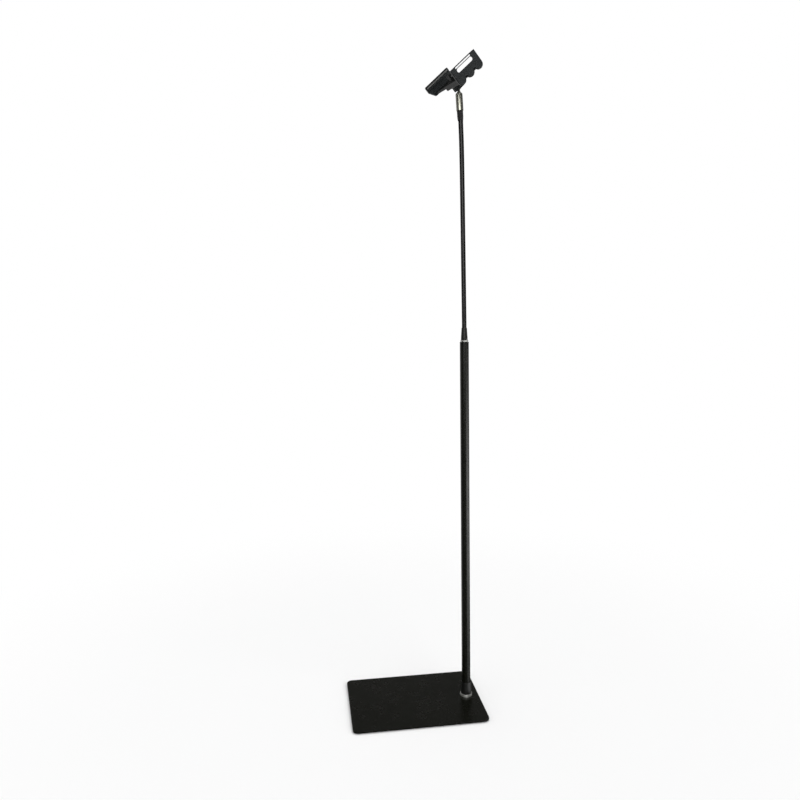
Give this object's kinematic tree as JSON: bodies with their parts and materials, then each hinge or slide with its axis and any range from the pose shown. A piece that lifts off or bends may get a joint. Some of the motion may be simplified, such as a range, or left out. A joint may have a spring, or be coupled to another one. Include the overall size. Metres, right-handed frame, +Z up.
{
  "type": "tablet floor stand",
  "caption": "Tablet floor stand: flat rectangular base plate, round pole, bendable gooseneck and a sprung clamp on a ball joint.",
  "frame": {"origin": "middle of the base plate's footprint, on the floor", "axes": "+Z up, +X along the plate's long side towards the pole, +Y away from the viewer"},
  "size_m": [0.424, 0.31, 2.0229],
  "materials": {
    "black_steel": "satin black powder coat",
    "chrome": "bright",
    "satin_metal": "satin nickel",
    "zinc": "zinc plated",
    "black_aluminium": "satin black",
    "neck_sleeve": "smooth black sleeve over a steel gooseneck",
    "black_plastic": "fine satin grain",
    "liner_plastic": "natural",
    "rubber": "matt",
    "grey_rubber": "matt grey foam rubber",
    "dark_screw": "blackened"
  },
  "bodies": {
    "base": {"base_feet": "rubber", "base_plate": "black_steel", "base_bolt": "zinc", "flange_ring": "chrome", "foot_sleeve": "black_plastic", "pole_plug_bottom": "zinc", "pole_section_lower": "black_steel", "pole_section_middle": "black_steel", "pole_section_upper": "black_steel", "pole_joiner_lower": "zinc", "pole_joiner_upper": "zinc", "pole_plug_top": "zinc", "collar_ring": "chrome", "neck_ferrule_lower": "black_aluminium", "neck_segment_00": "neck_sleeve"},
    "neck_01": {"neck_segment_01": "neck_sleeve"},
    "neck_02": {"neck_segment_02": "neck_sleeve"},
    "neck_03": {"neck_segment_03": "neck_sleeve"},
    "neck_04": {"neck_segment_04": "neck_sleeve"},
    "neck_05": {"neck_segment_05": "neck_sleeve"},
    "neck_06": {"neck_segment_06": "neck_sleeve"},
    "neck_07": {"neck_segment_07": "neck_sleeve"},
    "neck_08": {"neck_segment_08": "neck_sleeve"},
    "neck_09": {"neck_segment_09": "neck_sleeve"},
    "neck_10": {"neck_segment_10": "neck_sleeve"},
    "neck_11": {"neck_segment_11": "neck_sleeve"},
    "neck_12": {"neck_segment_12": "neck_sleeve"},
    "neck_13": {"neck_segment_13": "neck_sleeve"},
    "neck_14": {"neck_segment_14": "neck_sleeve"},
    "neck_15": {"neck_segment_15": "neck_sleeve"},
    "neck_end": {"neck_segment_16": "neck_sleeve", "neck_boot": "rubber", "neck_ferrule_upper": "satin_metal"},
    "ball": {"ball_stud": "satin_metal"},
    "liner": {"ball_liner": "liner_plastic"},
    "clamp": {"ball_socket": "black_plastic", "clamp_back_shell": "black_plastic", "clamp_front_shell": "black_plastic", "seat_pad": "rubber", "near_jaw": "black_plastic", "near_jaw_pad": "grey_rubber", "clamp_springs": "zinc", "shell_screws": "dark_screw", "near_jaw_screws": "dark_screw"},
    "lock_ring": {"lock_ring": "black_plastic"},
    "jaw": {"sliding_arm": "black_plastic", "far_jaw": "black_plastic", "far_jaw_pad": "grey_rubber", "far_jaw_screws": "dark_screw"}
  },
  "joints": [
    {"name": "neck_low_bend", "type": "hinge", "parent": "base", "child": "neck_01", "pos_m": [0.172, 0, 1.23047], "axis": [0, -1, 0], "range_deg": [-20, 20]},
    {"name": "neck_low_bend_2", "type": "hinge", "parent": "neck_01", "child": "neck_02", "pos_m": [0.17166, 0, 1.2694], "axis": [0, -1, 0], "range_deg": [-20, 20]},
    {"name": "neck_low_bend_3", "type": "hinge", "parent": "neck_02", "child": "neck_03", "pos_m": [0.17132, 0, 1.30834], "axis": [0, -1, 0], "range_deg": [-20, 20]},
    {"name": "neck_side_bend", "type": "hinge", "parent": "neck_03", "child": "neck_04", "pos_m": [0.17098, 0, 1.34728], "axis": [1, 0, 0], "range_deg": [-20, 20]},
    {"name": "neck_low_bend_4", "type": "hinge", "parent": "neck_04", "child": "neck_05", "pos_m": [0.17064, 0, 1.38621], "axis": [0, -1, 0], "range_deg": [-20, 20]},
    {"name": "neck_middle_bend", "type": "hinge", "parent": "neck_05", "child": "neck_06", "pos_m": [0.1703, 0, 1.42515], "axis": [0, -1, 0], "range_deg": [-13, 13]},
    {"name": "neck_middle_bend_2", "type": "hinge", "parent": "neck_06", "child": "neck_07", "pos_m": [0.16996, 0, 1.46408], "axis": [0, -1, 0], "range_deg": [-13, 13]},
    {"name": "neck_side_bend_2", "type": "hinge", "parent": "neck_07", "child": "neck_08", "pos_m": [0.16962, 0, 1.50302], "axis": [1, 0, 0], "range_deg": [-20, 20]},
    {"name": "neck_middle_bend_3", "type": "hinge", "parent": "neck_08", "child": "neck_09", "pos_m": [0.16928, 0, 1.54196], "axis": [0, -1, 0], "range_deg": [-13, 13]},
    {"name": "neck_middle_bend_4", "type": "hinge", "parent": "neck_09", "child": "neck_10", "pos_m": [0.16893, 0, 1.58089], "axis": [0, -1, 0], "range_deg": [-13, 13]},
    {"name": "neck_middle_bend_5", "type": "hinge", "parent": "neck_10", "child": "neck_11", "pos_m": [0.16858, 0, 1.61983], "axis": [0, -1, 0], "range_deg": [-13, 13]},
    {"name": "neck_side_bend_3", "type": "hinge", "parent": "neck_11", "child": "neck_12", "pos_m": [0.16819, 0, 1.65876], "axis": [1, 0, 0], "range_deg": [-20, 20]},
    {"name": "neck_top_bend", "type": "hinge", "parent": "neck_12", "child": "neck_13", "pos_m": [0.16775, 0, 1.6977], "axis": [0, -1, 0], "range_deg": [-16, 16]},
    {"name": "neck_top_bend_2", "type": "hinge", "parent": "neck_13", "child": "neck_14", "pos_m": [0.16718, 0, 1.73663], "axis": [0, -1, 0], "range_deg": [-16, 16]},
    {"name": "neck_top_bend_3", "type": "hinge", "parent": "neck_14", "child": "neck_15", "pos_m": [0.16636, 0, 1.77556], "axis": [0, -1, 0], "range_deg": [-16, 16]},
    {"name": "neck_top_bend_4", "type": "hinge", "parent": "neck_15", "child": "neck_end", "pos_m": [0.16506, 0, 1.81448], "axis": [0, -1, 0], "range_deg": [-16, 16]},
    {"name": "ball_turn", "type": "hinge", "parent": "neck_end", "child": "ball", "pos_m": [0.1595, 0, 1.91379], "axis": [-0.0558, 0, 0.9984], "range_deg": [-170, 170]},
    {"name": "clamp_tilt", "type": "hinge", "parent": "ball", "child": "liner", "pos_m": [0.15839, 0, 1.93376], "axis": [-0.1731, 0.9792, 0.1059], "range_deg": [-2.5, 82.5]},
    {"name": "clamp_roll", "type": "hinge", "parent": "liner", "child": "clamp", "pos_m": [0.15839, 0, 1.93376], "axis": [-0.664, -0.1954, 0.7218], "range_deg": [-180, 180]},
    {"name": "lock_ring_turn", "type": "hinge", "parent": "clamp", "child": "lock_ring", "pos_m": [0.15839, 0, 1.93376], "axis": [-0.664, -0.1954, 0.7218], "range_deg": [0, 180]},
    {"name": "jaw_slide", "type": "slide", "parent": "clamp", "child": "jaw", "axis": [-0.1731, 0.9792, 0.1059], "range_m": [-0.04, 0.045], "deforming": ["clamp_springs"]}
  ],
  "couplings": [
    {"joint": "neck_low_bend_2", "follows": "neck_low_bend", "ratio": 1},
    {"joint": "neck_low_bend_3", "follows": "neck_low_bend", "ratio": 1},
    {"joint": "neck_low_bend_4", "follows": "neck_low_bend", "ratio": 1},
    {"joint": "neck_middle_bend_2", "follows": "neck_middle_bend", "ratio": 1},
    {"joint": "neck_middle_bend_3", "follows": "neck_middle_bend", "ratio": 1},
    {"joint": "neck_middle_bend_4", "follows": "neck_middle_bend", "ratio": 1},
    {"joint": "neck_middle_bend_5", "follows": "neck_middle_bend", "ratio": 1},
    {"joint": "neck_top_bend_2", "follows": "neck_top_bend", "ratio": 1},
    {"joint": "neck_top_bend_3", "follows": "neck_top_bend", "ratio": 1},
    {"joint": "neck_top_bend_4", "follows": "neck_top_bend", "ratio": 1},
    {"joint": "neck_side_bend_2", "follows": "neck_side_bend", "ratio": 1},
    {"joint": "neck_side_bend_3", "follows": "neck_side_bend", "ratio": 1}
  ]
}
